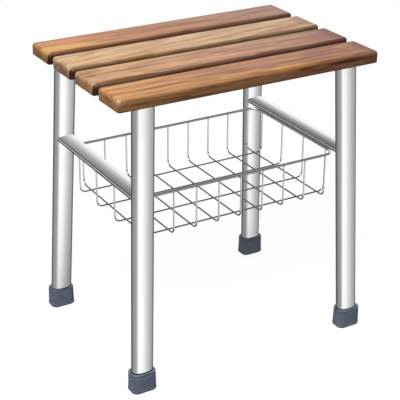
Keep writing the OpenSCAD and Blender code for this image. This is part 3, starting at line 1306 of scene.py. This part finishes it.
@dataclass
class Studio:
    """The floor, the lights, the surroundings and the camera.

    Attributes:
        target: The point that the camera looks at.
        distance: How far the camera is from it.
        azimuth: How far round from the front the camera is.
        elevation: How far above level the camera is.
        roll: How far the camera is tilted.
        lens: Its focal length, in millimetres.
        sensor: The width of its sensor, in millimetres.
    """

    target: Vector = field(default_factory=lambda: Vector((-0.0076, -0.0054, 0.2055)))
    distance: float = 1.7969
    azimuth: float = math.radians(-30.654)
    elevation: float = math.radians(25.408)
    roll: float = math.radians(0.499)
    lens: float = 105.255
    sensor: float = 36.0

    def build(self) -> None:
        """Sets up the whole studio."""
        scene = bpy.context.scene
        scene.view_settings.view_transform = "Standard"
        scene.view_settings.look = "None"
        self.camera()
        self.floor()
        self.key_light()
        self.surroundings()

    def camera(self) -> None:
        """Places the camera."""
        a, e, r = self.azimuth, self.elevation, self.roll
        back = Vector((math.sin(a) * math.cos(e), -math.cos(a) * math.cos(e), math.sin(e)))
        right = Vector((math.cos(a), math.sin(a), 0.0))
        up = back.cross(right)
        tilted = right * math.cos(r) + up * math.sin(r)
        data = bpy.data.cameras.new("camera")
        data.lens = self.lens
        data.sensor_width = self.sensor
        data.clip_end = 50.0
        made = bpy.data.objects.new("camera", data)
        turn = Matrix((tilted, back.cross(tilted), back)).transposed()
        made.matrix_world = (Matrix.Translation(self.target + back * self.distance)
                             @ turn.to_4x4())
        bpy.context.scene.collection.objects.link(made)
        bpy.context.scene.camera = made
        log.info("camera: %.0f mm lens, %.2f m away", self.lens, self.distance)

    def floor(self) -> None:
        """Lays the floor."""
        bm = bmesh.new()
        bmesh.ops.create_grid(bm, x_segments=1, y_segments=1, size=6.0)
        mesh = bpy.data.meshes.new("floor")
        bm.to_mesh(mesh)
        bm.free()
        mesh.materials.append(PaleFloor("pale_floor", 0.86, 0.20).material())
        made = bpy.data.objects.new("floor", mesh)
        made.visible_glossy = False
        made.visible_diffuse = False
        bpy.context.scene.collection.objects.link(made)

    def key_light(self) -> None:
        """Hangs one large soft light above, to the left and front."""
        data = bpy.data.lights.new("softbox", "AREA")
        data.shape = "SQUARE"
        data.size = 1.6
        data.energy = 52.0
        made = bpy.data.objects.new("softbox", data)
        towards = Vector((-0.55, -0.45, 0.95)).normalized()
        made.location = towards * 2.6
        made.rotation_euler = towards.to_track_quat("Z", "Y").to_euler()
        bpy.context.scene.collection.objects.link(made)

    def surroundings(self) -> None:
        """Surrounds the stool: even light for matt surfaces, bands for shiny ones."""
        world = bpy.data.worlds.new("studio")
        bpy.context.scene.world = world
        world.use_nodes = True
        world.node_tree.nodes.clear()
        w = Wiring(world.node_tree)
        x, y, z = w.axes(w.node("TexCoord").outputs["Generated"])
        turn = w.maths("ARCTAN2", w.maths("MULTIPLY", x, -1.0), w.maths("MULTIPLY", y, -1.0))
        round_share = w.maths("MULTIPLY_ADD", turn, 0.5 / math.pi, 0.5)

        def at(degrees: float) -> float:
            """Where on the ramp a direction lies, in degrees from the front to the left."""
            return degrees / 360 + 0.5

        def grey(level: float) -> Colour:
            """A grey of one level."""
            return (level, level, level)

        low_band = w.ramp(round_share, (
            (0.0, grey(0.12)), (at(-150), grey(0.13)), (at(-95), grey(0.15)),
            (at(-68), grey(0.40)), (at(-49), grey(0.54)), (at(-32), grey(0.76)),
            (at(-21), grey(0.93)), (at(-12), grey(1.1)), (at(6), grey(1.25)),
            (at(18), grey(1.07)), (at(30), grey(0.76)), (at(42), grey(0.53)),
            (at(56), grey(0.40)), (at(95), grey(0.34)), (at(120), grey(0.26)),
            (at(145), grey(0.11)), (1.0, grey(0.11))))
        edge_of_band = w.maths("MULTIPLY", w.span(z, -0.66, -0.54), w.span(z, -0.14, -0.26))
        in_front = w.span(y, 0.0, -0.3)
        dimmed = w.maths("MAXIMUM", edge_of_band, w.maths("SUBTRACT", 1.0, in_front))
        deep = w.maths("MULTIPLY", dimmed, w.span(z, -0.6, -0.5, 0.3, 1.0))
        low_band = w.mix(deep, grey(0.12), low_band)
        high_band = w.ramp(w.maths("ARCSINE", z), (
            (0.0, grey(1.1)), (0.17, grey(1.1)), (0.62, grey(0.2)), (1.0, grey(0.2))))
        rear_left = w.ramp(z, (
            (0.0, grey(1.0)), (0.06, grey(1.0)), (0.2, grey(0.14)), (1.0, grey(0.14))))
        is_left = w.maths("MULTIPLY", w.span(x, 0.05, -0.1), w.span(y, 0.2, 0.5))
        high_band = w.mix(is_left, high_band, rear_left)
        high_band = w.mix(in_front, high_band, grey(0.18))
        shiny = w.mix(w.span(z, -0.08, 0.02), low_band, high_band)
        matt = w.ramp(w.maths("MAXIMUM", z, 0.0), (
            (0.0, grey(0.07)), (0.15, grey(0.09)), (0.6, grey(0.50)), (1.0, grey(0.85))))
        path = w.node("LightPath")
        seen = w.mix(path.outputs["Is Glossy Ray"], matt, shiny)
        seen = w.mix(path.outputs["Is Camera Ray"], seen, (1.0, 1.0, 1.0))
        sky = w.node("Background")
        w.feed(sky.inputs["Color"], seen)
        w.feed(w.node("OutputWorld").inputs["Surface"], sky.outputs[0])


def main() -> None:
    """Builds the stool and the studio."""
    logging.basicConfig(level=logging.INFO, format="%(message)s")
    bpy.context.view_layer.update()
    Studio().build()
    Seat().build()
    Understructure().build()
    rubber = Moulded("grey_rubber", srgb(98, 106, 126), srgb(110, 118, 138), 0.36, 0.25)
    for side in Side:
        for end in End:
            RubberFoot(LegAxis(side, end)).build(rubber)
    steel = DrawnMetal("screw_steel", (0.62, 0.62, 0.61), 0.28, 0.08)
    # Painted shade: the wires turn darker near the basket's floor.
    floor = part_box("basket_cross_wires")[0].z
    wire = PaintedShadeMetal("bright_wire", (0.84, 0.84, 0.85), 0.12, 0.04, dull=(0.46, 0.46, 0.47),
                        low=floor + 4 * MM, high=floor + 10 * MM)
    Basket().build(wire, steel)
    Workshop.dress("seat_screws", steel)


if __name__ == "__main__":
    main()
